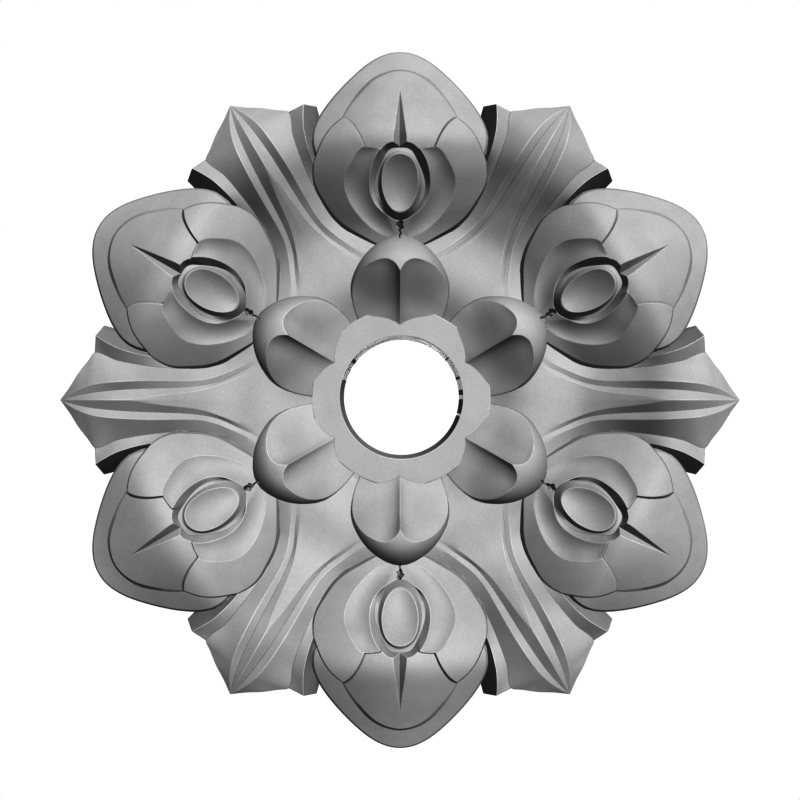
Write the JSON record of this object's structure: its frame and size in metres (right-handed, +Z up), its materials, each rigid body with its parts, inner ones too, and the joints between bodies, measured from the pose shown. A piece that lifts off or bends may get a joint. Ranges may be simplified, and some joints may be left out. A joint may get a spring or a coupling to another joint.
{
  "type": "rosette",
  "caption": "Round carved rosette applique with domed buds, pointed leaves and a pierced flower centre.",
  "frame": {"origin": "on the flat back, on the rosette's axis, at the middle of its six-fold outline", "axes": "+Y into the wall or ceiling the back is fixed to, -Y out of the carved face, +Z up through a bud, +X to the viewer's right"},
  "size_m": [0.2904, 0.0666, 0.305],
  "materials": {
    "rosette": "matte light grey, as cast stone or plaster"
  },
  "bodies": {
    "root": {"rosette": "rosette"}
  },
  "joints": []
}
